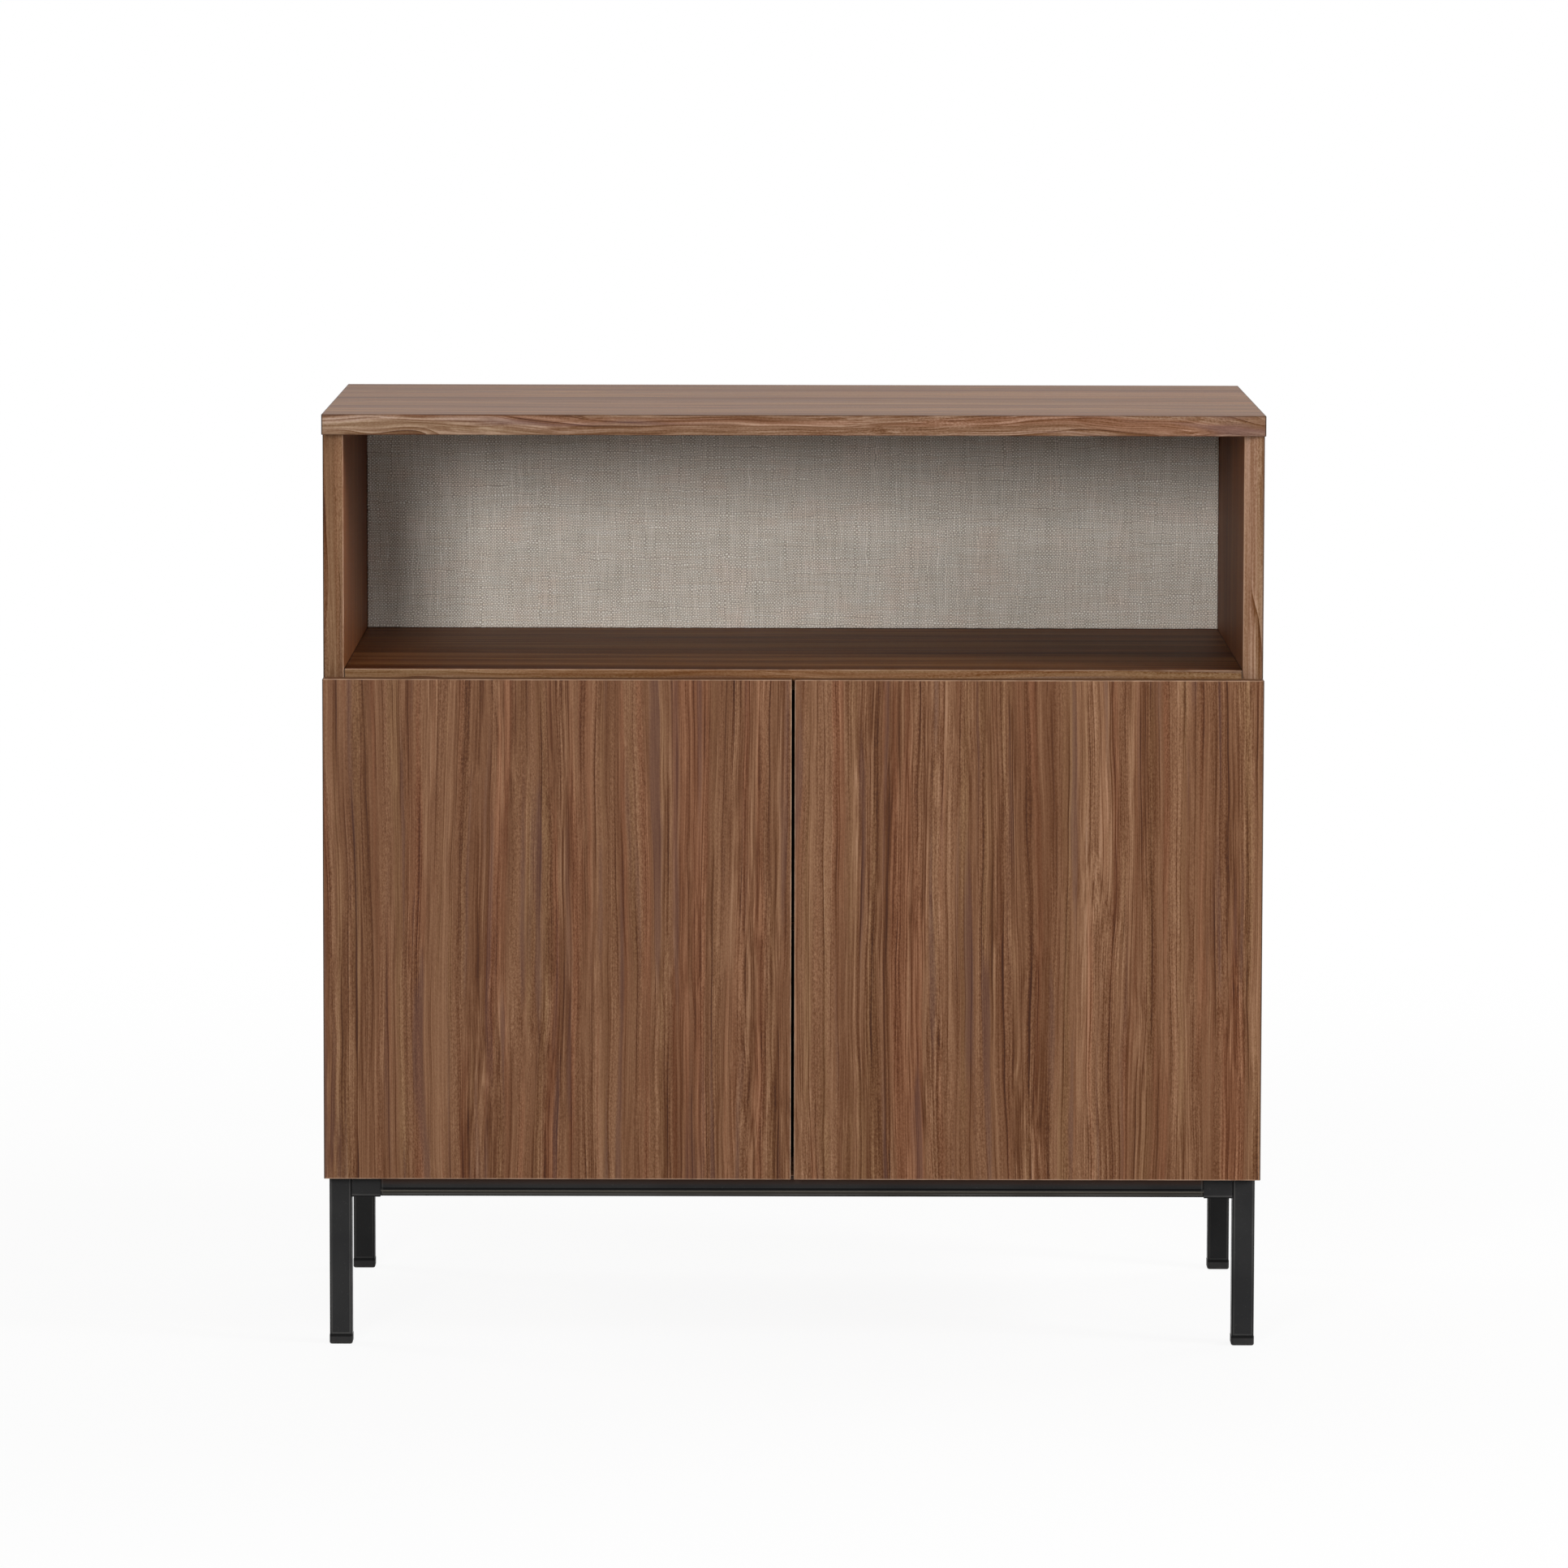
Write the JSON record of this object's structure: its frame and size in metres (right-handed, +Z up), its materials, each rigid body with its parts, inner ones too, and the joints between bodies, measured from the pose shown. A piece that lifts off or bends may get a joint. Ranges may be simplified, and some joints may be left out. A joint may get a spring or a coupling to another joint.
{
  "type": "office credenza",
  "caption": "Low office cabinet on a black steel leg frame: open top compartment with a fabric back above a cupboard closed by handle-less overlay doors.",
  "frame": {"origin": "on the floor under the middle of the top panel", "axes": "+X to the right seen from the front, +Y to the back, +Z up; the doors face -Y"},
  "size_m": [0.914, 0.508, 0.914],
  "materials": {
    "walnut_laminate": "matt walnut-grain laminate",
    "back_laminate": "matt laminate",
    "fibre_board": "pressed fibre board",
    "linen_fabric": "woven linen-look cloth",
    "beech_dowel": "plain beech",
    "black_steel": "satin black powder coat",
    "black_plastic": "fine-textured black",
    "grey_plastic": "moulded grey",
    "nickel_steel": "nickel plate",
    "zinc_steel": "bright zinc plate",
    "spring_steel": "spring wire"
  },
  "bodies": {
    "root": {"adjustable_shelf": "walnut_laminate", "back_panel": "back_laminate", "back_screws": "zinc_steel", "base_screws": "zinc_steel", "bottom_panel": "walnut_laminate", "cam_bolts": "zinc_steel", "cam_discs": "zinc_steel", "dowels": "beech_dowel", "fixed_shelf": "walnut_laminate", "front_left_foot": "black_plastic", "front_left_leg": "black_steel", "front_rail": "black_steel", "front_right_foot": "black_plastic", "front_right_leg": "black_steel", "hinge_arm_pins": "zinc_steel", "hinge_plate_screws": "zinc_steel", "hinge_plates": "zinc_steel", "latch_screws": "zinc_steel", "left_latch_body": "grey_plastic", "left_lower_hinge_arm": "nickel_steel", "left_rail": "black_steel", "left_side_panel": "walnut_laminate", "left_upper_hinge_arm": "nickel_steel", "rail_lock_screws": "zinc_steel", "rail_stubs": "black_steel", "rear_left_foot": "black_plastic", "rear_left_leg": "black_steel", "rear_rail": "black_steel", "rear_right_foot": "black_plastic", "rear_right_leg": "black_steel", "right_latch_body": "grey_plastic", "right_lower_hinge_arm": "nickel_steel", "right_rail": "black_steel", "right_side_panel": "walnut_laminate", "right_upper_hinge_arm": "nickel_steel", "shelf_pins": "nickel_steel", "tack_board": "fibre_board", "tack_fabric": "linen_fabric", "top_panel": "walnut_laminate"},
    "left_hinge_links": {"left_upper_hinge_link": "nickel_steel", "left_lower_hinge_link": "nickel_steel"},
    "left_door_leaf": {"left_door": "walnut_laminate", "left_upper_hinge_cup": "nickel_steel", "left_lower_hinge_cup": "nickel_steel", "left_cup_pins": "nickel_steel", "left_cup_screws": "zinc_steel", "left_strike_plate": "zinc_steel"},
    "left_plunger": {"left_latch_plunger": "grey_plastic", "left_latch_spring": "spring_steel"},
    "right_hinge_links": {"right_upper_hinge_link": "nickel_steel", "right_lower_hinge_link": "nickel_steel"},
    "right_door_leaf": {"right_door": "walnut_laminate", "right_upper_hinge_cup": "nickel_steel", "right_lower_hinge_cup": "nickel_steel", "right_cup_pins": "nickel_steel", "right_cup_screws": "zinc_steel", "right_strike_plate": "zinc_steel"},
    "right_plunger": {"right_latch_plunger": "grey_plastic", "right_latch_spring": "spring_steel"}
  },
  "joints": [
    {"name": "left_link_swing", "type": "hinge", "parent": "root", "child": "left_hinge_links", "pos_m": [-0.422, -0.226, 0.412], "axis": [0, 0, 1], "range_deg": [0, 33.26]},
    {"name": "left_door_swing", "type": "hinge", "parent": "left_hinge_links", "child": "left_door_leaf", "pos_m": [-0.446, -0.2375, 0.412], "axis": [0, 0, -1], "range_deg": [0, 128.25]},
    {"name": "left_latch_press", "type": "slide", "parent": "root", "child": "left_plunger", "axis": [0, 1, 0], "range_m": [0, 0.003], "stiffness_N_per_m": 300, "springref_m": -0.004},
    {"name": "right_link_swing", "type": "hinge", "parent": "root", "child": "right_hinge_links", "pos_m": [0.422, -0.226, 0.412], "axis": [0, 0, -1], "range_deg": [0, 33.26]},
    {"name": "right_door_swing", "type": "hinge", "parent": "right_hinge_links", "child": "right_door_leaf", "pos_m": [0.446, -0.2375, 0.412], "axis": [0, 0, 1], "range_deg": [0, 128.25]},
    {"name": "right_latch_press", "type": "slide", "parent": "root", "child": "right_plunger", "axis": [0, 1, 0], "range_m": [0, 0.003], "stiffness_N_per_m": 300, "springref_m": -0.004}
  ],
  "couplings": [
    {"joint": "left_link_swing", "follows": "left_door_swing", "ratio": 0.25926},
    {"joint": "right_link_swing", "follows": "right_door_swing", "ratio": 0.25926}
  ]
}
